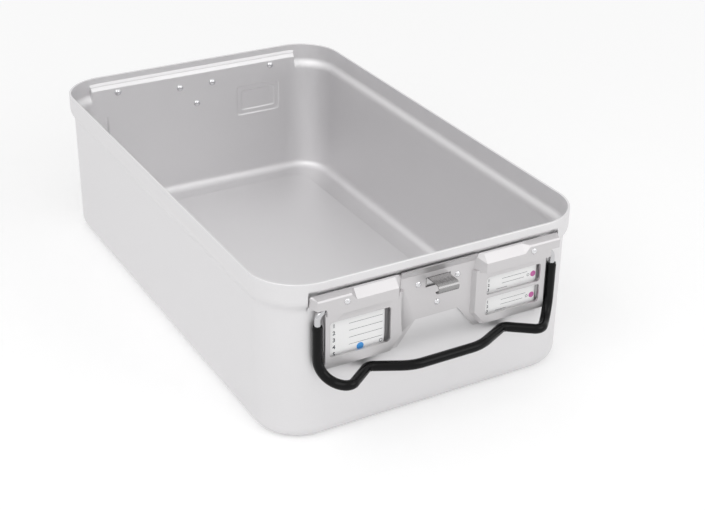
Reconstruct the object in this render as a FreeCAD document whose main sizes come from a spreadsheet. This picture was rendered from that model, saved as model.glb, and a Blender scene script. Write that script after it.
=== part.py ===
import FreeCAD, Part
import math
import os
import Sketcher
from FreeCAD import Placement, Rotation, Vector

# Bottom of a rigid sterilization container: an open, deep drawn aluminium tub with, on each end
# wall, a stamped bracket that holds label cards, a latch catch and a hanging wire carry handle.
# Millimetres, +Z up, X across the width, Y along the length. The origin is under the middle of
# the tub on the surface it stands on. The front end faces -Y, and the rear end is the front end
# turned half a turn about Z.

doc = FreeCAD.newDocument("SterilizationContainer")

# Driving sizes: name, value, and what it measures.
SIZES = [
    ("tub_length", 457.0, "tub, outside, over the rim"),
    ("tub_width", 280.0, "tub, outside, over the rim"),
    ("tub_height", 136.5, "tub, floor underside to rim"),
    ("wall_sheet", 2.0, "thickness of the tub's sheet"),
    ("rim_flare", 3.5, "how far the rim band stands out from the wall"),
    ("wall_corner", 32.5, "outer radius of the tub's upright corners"),
    ("base_round", 10.0, "outer radius between wall and floor"),
    ("swage_low_down", 23.0, "swage's lower bend, below the rim"),
    ("swage_high_down", 17.0, "swage's upper bend, below the rim"),
    ("swage_round", 11.0, "radius of both swage bends, outside"),
    ("rim_edge", 0.5, "rounding of the rim's edges"),
    ("panel_margin_x", 29.5, "side wall to raised floor panel"),
    ("panel_margin_y", 26.0, "end wall to raised floor panel"),
    ("panel_rise", 1.5, "how far the floor panel is pressed up"),
    ("panel_round", 20.0, "corner radius of the floor panel"),
    ("joggle_in", 27.3, "end of the end wall's sharper joggle, inside the side wall"),
    ("joggle_low_down", 15.5, "foot of the joggle's slope, below the rim"),
    ("joggle_high_down", 8.0, "head of the joggle's slope, below the rim"),
    ("rest_press", 0.6, "depth of each step of a card rest"),
    ("rest_margin", 4.5, "width of the lower step of a card rest"),
    ("rest_height", 29.3, "card rest, upright"),
    ("rest_round", 3.0, "corner radius of a card rest"),
    ("large_rest_inner", 45.45, "card rest behind the large card, inner side"),
    ("large_rest_in", 46.55, "its outer side, inside the side wall"),
    ("large_rest_down", 50.1, "its middle, below the rim"),
    ("small_rest_inner", 50.95, "card rest behind the small cards, inner side"),
    ("small_rest_in", 41.05, "its outer side, inside the side wall"),
    ("small_rest_down", 56.0, "its middle, below the rim"),
    ("bracket_sheet", 1.8, "thickness of the bracket's sheet"),
    ("bracket_drop", 1.9, "bracket's top edge below the joggle's head"),
    ("bracket_gap", 0.3, "gap between the bracket's top flange and the joggle"),
    ("bridge_low_down", 54.0, "underside of the bracket between its label plates, below the rim"),
    ("bridge_half", 19.0, "half width of that underside"),
    ("skirt_half", 34.5, "half width where the bracket's slanting edges end"),
    ("plate_low_down", 72.9, "lower edge of the label plates' face, below the rim"),
    ("plate_inner", 32.6, "inner edge of a label plate's face"),
    ("plate_in", 38.9, "outer edge of a label plate, inside the side wall"),
    ("plate_rise", 3.5, "label plate face in front of the bridge face"),
    ("plate_shoulder", 2.3, "run of the shoulder around a label plate"),
    ("plate_cut_x", 9.9, "inner lower corner of a label plate, across"),
    ("plate_cut_z", 12.1, "inner lower corner of a label plate, upright"),
    ("hood_rise", 7.9, "hood face in front of the bridge face"),
    ("hood_low_down", 26.1, "lower edge of the hood's face, below the rim"),
    ("hood_crest_down", 11.8, "hood's front crest, below the rim"),
    ("hood_inner", 39.0, "inner end of the hood's face"),
    ("hood_in", 30.3, "outer end of the hood's face, inside the side wall"),
    ("hood_splay", 2.7, "how much further out the hood's end is at the wall"),
    ("crest_round", 1.0, "flat across the hood's crest"),
    ("facet_in", 62.5, "outer end of the bright facet, inside the side wall"),
    ("facet_fade", 4.0, "length over which the facet fades into the crest"),
    ("facet_drop", 5.7, "how far the facet's lower edge is below the crest"),
    ("facet_run", 5.7, "how far the facet's upper edge is behind the hood face"),
    ("notch_in", 38.1, "inner side of the notch that the wire swings through, inside the side wall"),
    ("window_low_down", 64.2, "large window's lower edge, below the rim"),
    ("window_high_down", 34.5, "large window's upper edge, below the rim"),
    ("window_inner", 44.5, "large window, inner side"),
    ("window_in", 42.8, "large window's outer side, inside the side wall"),
    ("slot_inner", 42.7, "small windows, inner side"),
    ("slot_in", 45.5, "small windows' outer side, inside the side wall"),
    ("slot_height", 15.5, "small windows, height"),
    ("upper_slot_down", 40.3, "upper small window's middle, below the rim"),
    ("lower_slot_down", 58.5, "lower small window's middle, below the rim"),
    ("window_round", 2.5, "corner radius of the windows"),
    ("catch_slot_half", 11.0, "half width of the slot that the catch comes out of"),
    ("catch_slot_low_down", 28.5, "lower edge of that slot, below the rim"),
    ("catch_slot_play", 0.2, "gap between catch and slot's upper edge"),
    ("catch_sheet", 1.0, "thickness of the catch"),
    ("catch_half", 8.9, "half width of the catch's tongue"),
    ("catch_top_down", 20.5, "upper side of the catch's tongue, below the rim"),
    ("catch_reach", 17.5, "catch's nose in front of the wall"),
    ("catch_curl", 3.8, "outer radius of the catch's curl"),
    ("catch_drop", 8.0, "height of the catch's nose"),
    ("catch_lip", 5.0, "run of the catch's lip back from its nose"),
    ("catch_window_low_down", 39.0, "lower edge of the opening left by the bent tongue, below the rim"),
    ("catch_window_play", 0.6, "gap between tongue and that opening, each side"),
    ("catch_base_half", 23.0, "half width of the catch's base"),
    ("catch_base_high_down", 17.5, "upper edge of the catch's base, below the rim"),
    ("catch_base_low_down", 49.0, "lower edge of the catch's base, below the rim"),
    ("catch_base_foot", 6.0, "half width of the base's lower edge"),
    ("rivet_shank", 3.2, "diameter of a rivet's shank"),
    ("rivet_head", 5.2, "diameter of a rivet's head"),
    ("rivet_dome", 1.3, "height of a rivet's head"),
    ("rivet_clear", 0.05, "radial clearance of a rivet's hole"),
    ("side_rivet_x", 17.4, "catch's upper rivets, from the middle"),
    ("side_rivet_down", 24.3, "catch's upper rivets, below the rim"),
    ("low_rivet_down", 43.5, "catch's lower rivet, below the rim"),
    ("hood_rivet_in", 54.5, "hood rivets, inside the side wall"),
    ("hood_rivet_down", 17.1, "hood rivets, below the rim"),
    ("hinge_down", 22.5, "handle's hinge axis, below the rim"),
    ("hinge_out", 4.5, "hinge axis in front of the end wall"),
    ("pin_clear", 0.05, "radial clearance of the handle's ends in their blocks"),
    ("swing_gap", 0.3, "gap above the wire when the handle is swung right out"),
    ("block_inner_in", 58.0, "inner side of a pin block, inside the side wall"),
    ("block_outer_in", 42.5, "outer side of a pin block, inside the side wall"),
    ("block_low_down", 25.9, "underside of a pin block, below the rim"),
    ("block_gap", 0.2, "gap between a pin block and the cut edges of the sheet around it"),
    ("block_high_down", 14.7, "top of a pin block, below the rim"),
    ("pin_end_in", 56.0, "end of the handle's wire in its block, inside the side wall"),
    ("wire_size", 5.0, "diameter of the handle's wire"),
    ("sleeve_size", 8.0, "diameter of the handle's sleeve"),
    ("sleeve_clear", 0.02, "radial clearance between wire and sleeve"),
    ("leg_in", 32.8, "handle's leg, inside the side wall"),
    ("grip_down", 81.3, "handle's lower run, below the rim"),
    ("sleeve_top_down", 34.5, "upper ends of the sleeve, below the rim"),
    ("lobe_in", 51.0, "handle's outer lobe, inside the side wall"),
    ("lobe_out", 18.2, "outer lobe in front of the legs"),
    ("waist_in", 75.5, "where the handle comes back to the wall, inside the side wall"),
    ("grip_x", 30.6, "end of the straight grip"),
    ("grip_out", 15.1, "grip in front of the legs"),
    ("bend_pin", 8.0, "bend radius between pin and leg"),
    ("bend_leg", 19.0, "bend radius at the foot of a leg"),
    ("bend_lobe", 7.0, "bend radius of a lobe"),
    ("bend_waist", 6.4, "bend radius at the waist"),
    ("bend_grip", 38.0, "bend radius at the end of the grip"),
    ("card_sheet", 0.4, "thickness of a label card"),
    ("card_lap", 1.0, "how far a card reaches past its window"),
    ("card_round", 3.2, "corner radius of a card"),
    ("card_lift", 0.2, "gap between a card and the pocket's floor or the card below"),
]

sheet = doc.addObject("Spreadsheet::Sheet", "Sizes")
for row, (alias, value, note) in enumerate(SIZES, start=1):
    sheet.set("A%d" % row, note)
    sheet.set("B%d" % row, str(value))
    sheet.setAlias("B%d" % row, alias)
doc.recompute()


class Size:
    """A number together with the sheet formula that it comes from."""

    def __init__(self, number, formula):
        self.number = float(number)
        self.formula = formula

    def __add__(self, other):
        return joined(self, "+", other, lambda a, b: a + b)

    def __radd__(self, other):
        return joined(other, "+", self, lambda a, b: a + b)

    def __sub__(self, other):
        return joined(self, "-", other, lambda a, b: a - b)

    def __rsub__(self, other):
        return joined(other, "-", self, lambda a, b: a - b)

    def __mul__(self, other):
        return joined(self, "*", other, lambda a, b: a * b)

    def __rmul__(self, other):
        return joined(other, "*", self, lambda a, b: a * b)

    def __truediv__(self, other):
        return joined(self, "/", other, lambda a, b: a / b)

    def __neg__(self):
        return Size(-self.number, "(-%s)" % self.formula)


def joined(left, sign, right, work):
    """Both sides of a sum, difference, product or quotient as one Size."""
    left = as_size(left)
    right = as_size(right)
    return Size(work(left.number, right.number), "(%s %s %s)" % (left.formula, sign, right.formula))


def as_size(value):
    """A Size as it is, or a plain number as one."""
    if isinstance(value, Size):
        return value
    return Size(value, repr(float(value)))


def size(alias):
    """The sheet's cell of that name."""
    return Size(float(sheet.get(alias)), "Sizes.%s" % alias)


def bind(thing, name, value):
    """Set a property through a formula, so that it follows the sheet."""
    thing.setExpression(name, as_size(value).formula)


wall_sheet = size("wall_sheet")
wall_x = size("tub_width") / 2 - size("rim_flare")
wall_y = size("tub_length") / 2 - size("rim_flare")


def height(name):
    """A height above the base, kept in the sheet as a depth below the rim."""
    return size("tub_height") - size(name + "_down")


def across(name):
    """A place across the end wall, kept in the sheet as a distance inside the side wall."""
    return wall_x - size(name + "_in")


# Sizes that several pieces share.
bracket_sheet = size("bracket_sheet")
bracket_top = height("joggle_high") - size("bracket_drop")
joggle_lean = size("rim_flare") / (height("joggle_high") - height("joggle_low"))
plate_face = bracket_sheet + size("plate_rise")
hood_face = bracket_sheet + size("hood_rise")
hole_radius = size("rivet_shank") / 2 + size("rivet_clear")
bore_radius = size("wire_size") / 2 + size("pin_clear")
card_back = size("rest_press") * 2
pocket_floor = height("plate_low") + bracket_sheet
notch_top = height("hinge") + size("wire_size") / 2 + size("swing_gap")


def new_body(name, turn=0):
    """An empty body, turned about Z by so many degrees."""
    body = doc.addObject("PartDesign::Body", name)
    body.Label = name
    body.Placement = Placement(Vector(0, 0, 0), Rotation(Vector(0, 0, 1), turn))
    return body


def new_sketch(body, name, role, offset=0):
    """A sketch on one of the body's own origin planes, moved along its normal."""
    sketch = body.newObject("Sketcher::SketchObject", name)
    plane = next(part for part in body.Origin.OriginFeatures if part.Role == role)
    sketch.AttachmentSupport = [(plane, "")]
    sketch.MapMode = "FlatFace"
    bind(sketch, "AttachmentOffset.Base.z", offset)
    return sketch


def on_end(body, name, depth=0):
    """A sketch in X and Z, so far in front of the end wall's outer face."""
    return new_sketch(body, name, "XZ_Plane", wall_y + depth)


def locate(sketch, geometry, point, x, z):
    """Fix one point of a sketch at two formulas."""
    for kind, value in (("DistanceX", x), ("DistanceY", z)):
        value = as_size(value)
        index = sketch.addConstraint(Sketcher.Constraint(kind, -1, 1, geometry, point, value.number))
        bind(sketch, "Constraints[%d]" % index, value)


def outline(sketch, corners, closed=True):
    """An outline through corners (x, y, radius), each rounded by its radius if it has one.

    An open outline's first and last corners are its ends."""
    places = [Vector(as_size(x).number, as_size(y).number, 0) for x, y, _ in corners]
    count = len(corners)
    starts = []
    ends = []
    arcs = {}
    for index, (_, _, radius) in enumerate(corners):
        corner = places[index]
        if radius is None:
            starts.append(corner)
            ends.append(corner)
            continue
        to_last = (places[index - 1] - corner).normalize()
        to_next = (places[(index + 1) % count] - corner).normalize()
        half = to_last.getAngle(to_next) / 2
        reach = as_size(radius).number / math.tan(half)
        ends.append(corner + to_last * reach)
        starts.append(corner + to_next * reach)
        centre = corner + (to_last + to_next).normalize() * (as_size(radius).number / math.sin(half))
        arcs[index] = (centre, to_last.cross(to_next).z < 0)
    lines = []
    for index in range(count if closed else count - 1):
        line = Part.LineSegment(starts[index], ends[(index + 1) % count])
        lines.append(sketch.addGeometry(line, False))
    if not closed:
        locate(sketch, lines[0], 1, *corners[0][:2])
        locate(sketch, lines[-1], 2, *corners[-1][:2])
    for index, (x, y, radius) in enumerate(corners):
        if not closed and index in (0, count - 1):
            continue
        before = lines[index - 1]
        after = lines[index]
        if radius is None:
            sketch.addConstraint(Sketcher.Constraint("Coincident", before, 2, after, 1))
            locate(sketch, after, 1, x, y)
            continue
        centre, left_turn = arcs[index]
        first, last = (ends[index], starts[index]) if left_turn else (starts[index], ends[index])
        angles = [math.atan2(spot.y - centre.y, spot.x - centre.x) for spot in (first, last)]
        circle = Part.Circle(centre, Vector(0, 0, 1), as_size(radius).number)
        arc = sketch.addGeometry(Part.ArcOfCircle(circle, angles[0], angles[1]), False)
        into, out_of = (1, 2) if left_turn else (2, 1)
        sketch.addConstraint(Sketcher.Constraint("Tangent", before, 2, arc, into))
        sketch.addConstraint(Sketcher.Constraint("Tangent", arc, out_of, after, 1))
        bent = sketch.addConstraint(Sketcher.Constraint("Radius", arc, as_size(radius).number))
        bind(sketch, "Constraints[%d]" % bent, radius)
        peg = sketch.addGeometry(Part.Point(places[index]), True)
        sketch.addConstraint(Sketcher.Constraint("PointOnObject", peg, 1, before))
        sketch.addConstraint(Sketcher.Constraint("PointOnObject", peg, 1, after))
        locate(sketch, peg, 1, x, y)
    return sketch


def rectangle(sketch, left, right, low, high, radius=None):
    """A closed rectangle, with rounded corners if it has a radius."""
    return outline(sketch, [
        (left, low, radius),
        (right, low, radius),
        (right, high, radius),
        (left, high, radius),
    ])


def disc(sketch, x, y, radius):
    """A full circle at a formula's place."""
    number = as_size(radius).number
    place = Vector(as_size(x).number, as_size(y).number, 0)
    circle = sketch.addGeometry(Part.Circle(place, Vector(0, 0, 1), number), False)
    locate(sketch, circle, 3, x, y)
    index = sketch.addConstraint(Sketcher.Constraint("Radius", circle, number))
    bind(sketch, "Constraints[%d]" % index, radius)
    return sketch


def extrude(body, kind, sketch, length, both_ways=False, reverse=False):
    """A Pad or Pocket of a sketch, along its normal or half to each side."""
    feature = body.newObject("PartDesign::" + kind, sketch.Name + kind)
    feature.Profile = sketch
    bind(feature, "Length", length)
    feature.SideType = "Symmetric" if both_ways else "One side"
    feature.Reversed = reverse
    sketch.Visibility = False
    return feature


def pad(body, sketch, length, **options):
    """Add material over a sketch."""
    return extrude(body, "Pad", sketch, length, **options)


def pocket(body, sketch, length, **options):
    """Cut material behind a sketch."""
    return extrude(body, "Pocket", sketch, length, **options)


def loft(body, kind, name, sketches):
    """A straight-sided AdditiveLoft or SubtractiveLoft through several sketches."""
    feature = body.newObject("PartDesign::" + kind, name)
    feature.Profile = sketches[0]
    feature.Sections = sketches[1:]
    feature.Ruled = True
    return feature


# The tub.

def tub_section(sketch):
    """The wall from floor to rim: base round, upright wall, swage and rim band."""
    flare = size("rim_flare")
    # A sheet of even thickness has its inner swage corners a little higher than its outer ones.
    slope = flare / (height("swage_high") - height("swage_low"))
    rise = wall_sheet * slope / 2
    stub = size("base_round") + wall_sheet
    return outline(sketch, [
        (wall_x - stub, 0, None),
        (wall_x, 0, size("base_round")),
        (wall_x, height("swage_low"), size("swage_round")),
        (wall_x + flare, height("swage_high"), size("swage_round")),
        (wall_x + flare, size("tub_height"), size("rim_edge")),
        (wall_x + flare - wall_sheet, size("tub_height"), size("rim_edge")),
        (wall_x + flare - wall_sheet, height("swage_high") + rise, size("swage_round") - wall_sheet),
        (wall_x - wall_sheet, height("swage_low") + rise, size("swage_round") + wall_sheet),
        (wall_x - wall_sheet, wall_sheet, size("base_round") - wall_sheet),
        (wall_x - stub, wall_sheet, None),
    ])


def make_tub():
    """The deep drawn tub. Its front half is made first, and the rear half is the same one turned."""
    body = new_body("tub_front_half")
    corner = size("wall_corner")
    path = outline(new_sketch(body, "WallPath", "XY_Plane"), [
        (wall_x, 0, None),
        (wall_x, -wall_y, corner),
        (-wall_x, -wall_y, corner),
        (-wall_x, 0, None),
    ], closed=False)
    section = tub_section(new_sketch(body, "WallSection", "XZ_Plane"))
    wall = body.newObject("PartDesign::AdditivePipe", "Wall")
    wall.Profile = section
    wall.Spine = (path, ["Edge%d" % (edge + 1) for edge in range(5)])
    make_floor(body)
    shape_end_wall(body)
    # Mirrored across both upright planes, the front half is turned half a turn.
    across = doc.addObject("Part::Mirroring", "tub_mirrored")
    across.Source = body
    across.Normal = Vector(0, 1, 0)
    turned = doc.addObject("Part::Mirroring", "tub_rear_half")
    turned.Source = across
    turned.Normal = Vector(1, 0, 0)
    tub = doc.addObject("Part::MultiFuse", "tub")
    tub.Label = "tub"
    tub.Shapes = [body, turned]
    tub.Refine = True
    return tub


def half_floor(sketch, inset, corner):
    """The front half of a rectangle inset from the tub's walls, its front corners rounded."""
    across = wall_x - inset[0]
    along = wall_y - inset[1]
    return outline(sketch, [
        (across, 0, None),
        (-across, 0, None),
        (-across, -along, corner),
        (across, -along, corner),
    ])


def make_floor(body):
    """The floor, with its raised panel, hollow underneath."""
    inset = size("base_round") + wall_sheet / 2
    floor = half_floor(new_sketch(body, "Floor", "XY_Plane"), (inset, inset), size("wall_corner") - inset)
    pad(body, floor, wall_sheet)
    margin = (size("panel_margin_x"), size("panel_margin_y"))
    panel = half_floor(new_sketch(body, "FloorPanel", "XY_Plane", wall_sheet), margin, size("panel_round"))
    pad(body, panel, size("panel_rise"))
    soften_panel(body)
    margin = [value + wall_sheet for value in margin]
    under = half_floor(new_sketch(body, "FloorPanelUnder", "XY_Plane"), margin,
                       size("panel_round") - wall_sheet)
    pocket(body, under, size("panel_rise"), reverse=True)


def soften_panel(body):
    """Round the upper edge of the raised floor panel."""
    doc.recompute()
    top = (wall_sheet + size("panel_rise")).number
    names = []
    for index, edge in enumerate(body.Shape.Edges, start=1):
        box = edge.BoundBox
        level = abs(box.ZMin - top) < 1e-4 and abs(box.ZMax - top) < 1e-4
        if level and box.YMin < -1:
            names.append("Edge%d" % index)
    base = body.Tip
    feature = body.newObject("PartDesign::Fillet", "FloorPanelRound")
    feature.Base = (base, names)
    bind(feature, "Radius", size("panel_rise") * 0.6)


def shape_end_wall(body):
    """The front end wall's joggle, card rests and rivet holes."""
    # In the middle of the wall the sheet steps inward, with a web at each end.
    flare = size("rim_flare")
    half = across("joggle")
    foot = height("swage_low") - size("swage_round") / 2
    inner = wall_sheet - wall_y
    middle = wall_sheet / 2 - wall_y
    outer = -wall_y
    fill = outline(new_sketch(body, "JoggleFill", "YZ_Plane"), [
        (inner, foot, None),
        (inner, height("joggle_low"), None),
        (inner - flare, height("joggle_high"), None),
        (middle - flare, height("joggle_high"), None),
        (middle - flare, height("swage_high") + wall_sheet, None),
        (middle, height("swage_low") - wall_sheet, None),
        (middle, foot, None),
    ])
    pad(body, fill, (half + wall_sheet) * 2, both_ways=True)
    relief = outline(new_sketch(body, "JoggleRelief", "YZ_Plane"), [
        (outer, foot, None),
        (outer, height("joggle_low"), None),
        (outer - flare, height("joggle_high"), None),
        (outer - flare - wall_sheet, height("joggle_high"), None),
        (outer - flare - wall_sheet, foot, None),
    ])
    pocket(body, relief, half * 2, both_ways=True)
    press_card_rest(body, "LargeRest", -across("large_rest"), -size("large_rest_inner"), height("large_rest"))
    press_card_rest(body, "SmallRest", size("small_rest_inner"), across("small_rest"), height("small_rest"))
    drill = on_end(body, "RivetHoles", flare)
    for x, z in rivet_places():
        disc(drill, x, z, hole_radius)
    pocket(body, drill, flare + wall_sheet * 2)


def press_card_rest(body, name, left, right, z):
    """A two-step pad pressed outward, raised outside and hollow inside."""
    for step in (1, 2):
        inset = size("rest_margin") * (step - 1)
        half = size("rest_height") / 2 - inset
        depth = size("rest_press") * step
        spans = (left + inset, right - inset, z - half, z + half, size("rest_round"))
        raised = on_end(body, "%sOut%d" % (name, step), -wall_sheet / 2)
        rectangle(raised, *spans)
        pad(body, raised, depth + wall_sheet / 2)
        sunk = on_end(body, "%sIn%d" % (name, step), -wall_sheet)
        rectangle(sunk, *spans)
        pocket(body, sunk, depth, reverse=True)


# The handle bracket.

def bridge_outline(sketch):
    """The flat part of the bracket that lies on the wall between and under the label plates."""
    base = size("plate_inner") - size("plate_shoulder")
    half = [
        (size("bridge_half"), height("bridge_low")),
        (size("skirt_half"), height("plate_low") - 1),
        (base + size("plate_cut_x"), height("plate_low") - 1),
        (base + size("plate_cut_x"), bracket_top),
    ]
    right = [(x, z, None) for x, z in half]
    left = [(-x, z, None) for x, z in reversed(half)]
    return outline(sketch, right + left)


def plate_outline(sketch, way, grow, low, high, outer):
    """A label plate with its cut inner lower corner; grow moves its inner and lower sides out."""
    inner = size("plate_inner") - grow
    corners = [
        (inner * way, low + size("plate_cut_z"), None),
        ((inner + size("plate_cut_x")) * way, low, None),
        (outer * way, low, None),
        (outer * way, high, None),
        (inner * way, high, None),
    ]
    return outline(sketch, corners if way > 0 else corners[::-1])


def hood_section(body, name, x, rise, drop, run, inset=0):
    """The hood's section across X: floor, face, facet and sloping roof.

    With an inset, the section of the hollow: the same one, moved in by the sheet."""
    sketch = new_sketch(body, name, "YZ_Plane", x)
    back = -wall_y + inset * 0.3
    edge = -(wall_y + bracket_sheet) + inset
    face = edge - rise
    floor = height("hood_low") + inset
    crest = height("hood_crest") - inset * 0.7
    roof = bracket_top - inset * 0.7
    return outline(sketch, [
        (back, floor, None),
        (face, floor, None),
        (face, crest - drop, None),
        (face + run, crest + run * 0.1, None),
        (edge, roof, None),
        (back, roof, None),
    ])


def hood_stations(inset):
    """Where the hood's section is set: place across, rise, facet drop, facet run."""
    flat = size("crest_round")
    rise = size("hood_rise")
    drop = size("facet_drop")
    run = size("facet_run")
    sliver = 0.05
    return [
        ("Root", size("plate_inner") + inset, sliver, flat, sliver / 2),
        ("Start", size("hood_inner") + inset, rise, drop, run),
        ("Facet", across("facet") - inset / 2, rise, drop, run),
        ("Fade", across("facet") + size("facet_fade") - inset / 2, rise, flat, flat),
        ("End", across("hood") - inset, rise, flat, flat),
        ("Cap", across("hood") + size("hood_splay") - inset, sliver, flat, sliver / 2),
    ]


def hood_form(body, kind, side, way, inset=0):
    """The hood as a solid form, or its hollow, lofted along X."""
    name = side + ("Hollow" if kind == "SubtractiveLoft" else "Hood")
    sections = [hood_section(body, name + station, x * way, rise, drop, run, inset)
                for station, x, rise, drop, run in hood_stations(inset)]
    loft(body, kind, name, sections)


def raise_wing(body, side, way):
    """The outside of one label plate, its shoulder and the hood above it."""
    shoulder = size("plate_shoulder")
    low = height("plate_low")
    foot_low = low - shoulder * 0.4
    top = height("hood_low") + bracket_sheet
    outer = across("plate")
    back = plate_outline(on_end(body, side + "PlateBack"), way, shoulder, foot_low, top, outer)
    pad(body, back, bracket_sheet)
    foot = plate_outline(on_end(body, side + "PlateFoot", bracket_sheet), way, shoulder, foot_low, top,
                         outer)
    face = plate_outline(on_end(body, side + "PlateFace", plate_face), way, 0, low, top, outer)
    loft(body, "AdditiveLoft", side + "Plate", [foot, face])
    hood_form(body, "AdditiveLoft", side, way)


def hollow_wing(body, side, way):
    """The card pocket behind one label plate, and the hollow inside its hood."""
    lean = size("plate_shoulder") / size("plate_rise")
    sheet_across = bracket_sheet * 1.2
    depth = plate_face - bracket_sheet
    inside = size("plate_shoulder") + bracket_sheet * lean - sheet_across
    top = height("hood_low") + bracket_sheet * 2
    past = across("plate") + bracket_sheet
    mouth = plate_outline(on_end(body, side + "PocketBack"), way, inside, pocket_floor, top, past)
    front = plate_outline(on_end(body, side + "PocketFront", depth), way, inside - depth * lean,
                          pocket_floor, top, past)
    loft(body, "SubtractiveLoft", side + "Pocket", [mouth, front])
    hood_form(body, "SubtractiveLoft", side, way, bracket_sheet)
    # The hood's floor is open below the pin block.
    under = new_sketch(body, side + "BlockOpening", "XY_Plane", height("hood_low"))
    near = -wall_y + bracket_sheet
    far = -(wall_y + size("hood_rise"))
    spans = (across("block_inner") - size("block_gap"), across("notch") + bracket_sheet)
    left, right = (spans[0], spans[1]) if way > 0 else (-spans[1], -spans[0])
    rectangle(under, left, right, far, near)
    pocket(body, under, bracket_sheet * 2, reverse=True)
    # The wire swings out through a notch in the hood's outer end.
    notch = on_end(body, side + "Notch", hood_face + bracket_sheet)
    beyond = across("hood") + size("hood_splay") + bracket_sheet
    corners = [
        (across("notch") * way, height("hood_low") - bracket_sheet, None),
        (beyond * way, height("hood_low") - bracket_sheet, None),
        (beyond * way, notch_top, None),
        (across("notch") * way, notch_top, bracket_sheet),
    ]
    outline(notch, corners if way > 0 else corners[::-1])
    pocket(body, notch, hood_face + bracket_sheet * 2)


def make_bracket(end, turn):
    """The stamped bracket: bridge, two label plates with windows, and two hollow hoods."""
    body = new_body(end + "_handle_bracket", turn)
    pad(body, bridge_outline(on_end(body, "Bridge")), bracket_sheet)
    for side, way in (("Left", -1), ("Right", 1)):
        raise_wing(body, side, way)
    bend_flange(body)
    for side, way in (("Left", -1), ("Right", 1)):
        hollow_wing(body, side, way)
    cut_windows(body)
    seat_catch(body)
    return body


def bend_flange(body):
    """The top edge, bent out along the joggle between the hoods and cut back to it behind them."""
    gap = size("bracket_gap")
    back = -wall_y
    front = back - bracket_sheet
    bend = height("joggle_low") - gap / joggle_lean
    reach = gap + (bracket_top - height("joggle_low")) * joggle_lean
    flange = outline(new_sketch(body, "TopFlange", "YZ_Plane"), [
        (back, bend - bracket_sheet, None),
        (back, bracket_top, None),
        (front - reach, bracket_top, None),
        (front, bend, None),
        (front, bend - bracket_sheet, None),
    ])
    pad(body, flange, (size("plate_inner") + bracket_sheet / 2) * 2, both_ways=True)
    clear_joggle(body, across("hood") + size("hood_splay") + bracket_sheet)


def clear_joggle(body, half):
    """Cut a piece back from the joggle's slope behind it."""
    gap = size("bracket_gap")
    back = -wall_y
    bend = height("joggle_low") - gap / joggle_lean
    above = bracket_top + bracket_sheet
    beyond = gap + (above - height("joggle_low")) * joggle_lean
    relief = outline(new_sketch(body, "JoggleRelief", "YZ_Plane"), [
        (back, bend, None),
        (back - beyond, above, None),
        (back + bracket_sheet, above, None),
        (back + bracket_sheet, bend, None),
    ])
    pocket(body, relief, half * 2, both_ways=True)


def cut_windows(body):
    """One large window at the left, two small ones at the right."""
    large = on_end(body, "LargeWindow", plate_face)
    rectangle(large, -across("window"), -size("window_inner"), height("window_low"),
              height("window_high"), size("window_round"))
    pocket(body, large, bracket_sheet * 2)
    small = on_end(body, "SmallWindows", plate_face)
    half = size("slot_height") / 2
    for middle in (height("upper_slot"), height("lower_slot")):
        rectangle(small, size("slot_inner"), across("slot"), middle - half, middle + half,
                  size("window_round"))
    pocket(body, small, bracket_sheet * 2)


def catch_base(sketch, grow):
    """The catch's base behind the bracket, narrowing to its lower rivet."""
    half = size("catch_base_half") + grow
    foot = size("catch_base_foot") + grow
    low = height("catch_base_low") - grow
    high = height("catch_base_high") + grow
    shoulder = height("side_rivet") - size("rivet_head")
    return outline(sketch, [
        (-foot, low, None),
        (foot, low, None),
        (half, shoulder, None),
        (half, high, None),
        (-half, high, None),
        (-half, shoulder, None),
    ])


def seat_catch(body):
    """The recess for the catch's base, the slot for its tongue, and all rivet holes."""
    recess = catch_base(on_end(body, "CatchRecess"), size("catch_slot_play"))
    pocket(body, recess, size("catch_sheet"), reverse=True)
    slot = on_end(body, "CatchSlot", bracket_sheet)
    rectangle(slot, -size("catch_slot_half"), size("catch_slot_half"), height("catch_slot_low"),
              height("catch_top") + size("catch_slot_play"))
    pocket(body, slot, bracket_sheet)
    drill = on_end(body, "RivetHoles", hood_face)
    for x, z in rivet_places():
        disc(drill, x, z, hole_radius)
    pocket(body, drill, hood_face)


def catch_rivet_places():
    """The catch's three rivets, across and upright."""
    return [
        (-size("side_rivet_x"), height("side_rivet")),
        (size("side_rivet_x"), height("side_rivet")),
        (as_size(0), height("low_rivet")),
    ]


def hood_rivet_places():
    """The hoods' two rivets, across and upright."""
    return [(across("hood_rivet") * way, height("hood_rivet")) for way in (-1, 1)]


def rivet_places():
    """All five rivets of one end."""
    return catch_rivet_places() + hood_rivet_places()


# The latch catch.

def make_catch(end, turn):
    """The catch: a base behind the bracket with a tongue bent out of it and curled at its nose."""
    body = new_body(end + "_latch_catch", turn)
    thick = size("catch_sheet")
    pad(body, catch_base(on_end(body, "Base"), 0), thick)
    opening = on_end(body, "TongueOpening", thick)
    wide = size("catch_half") + size("catch_window_play")
    rectangle(opening, -wide, wide, height("catch_window_low"), height("catch_top") - thick)
    pocket(body, opening, thick)
    nose = -(wall_y + size("catch_reach"))
    top = height("catch_top")
    curl = size("catch_curl")
    low = top - size("catch_drop")
    tongue = outline(new_sketch(body, "Tongue", "YZ_Plane"), [
        (-wall_y, top, None),
        (nose, top, curl),
        (nose, low, curl),
        (nose + size("catch_lip"), low, None),
        (nose + size("catch_lip"), low + thick, None),
        (nose + thick, low + thick, curl - thick),
        (nose + thick, top - thick, curl - thick),
        (-wall_y, top - thick, None),
    ])
    pad(body, tongue, size("catch_half") * 2, both_ways=True)
    drill = on_end(body, "RivetHoles", thick)
    for x, z in catch_rivet_places():
        disc(drill, x, z, hole_radius)
    pocket(body, drill, thick)
    return body


# Fasteners and bearings.

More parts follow.
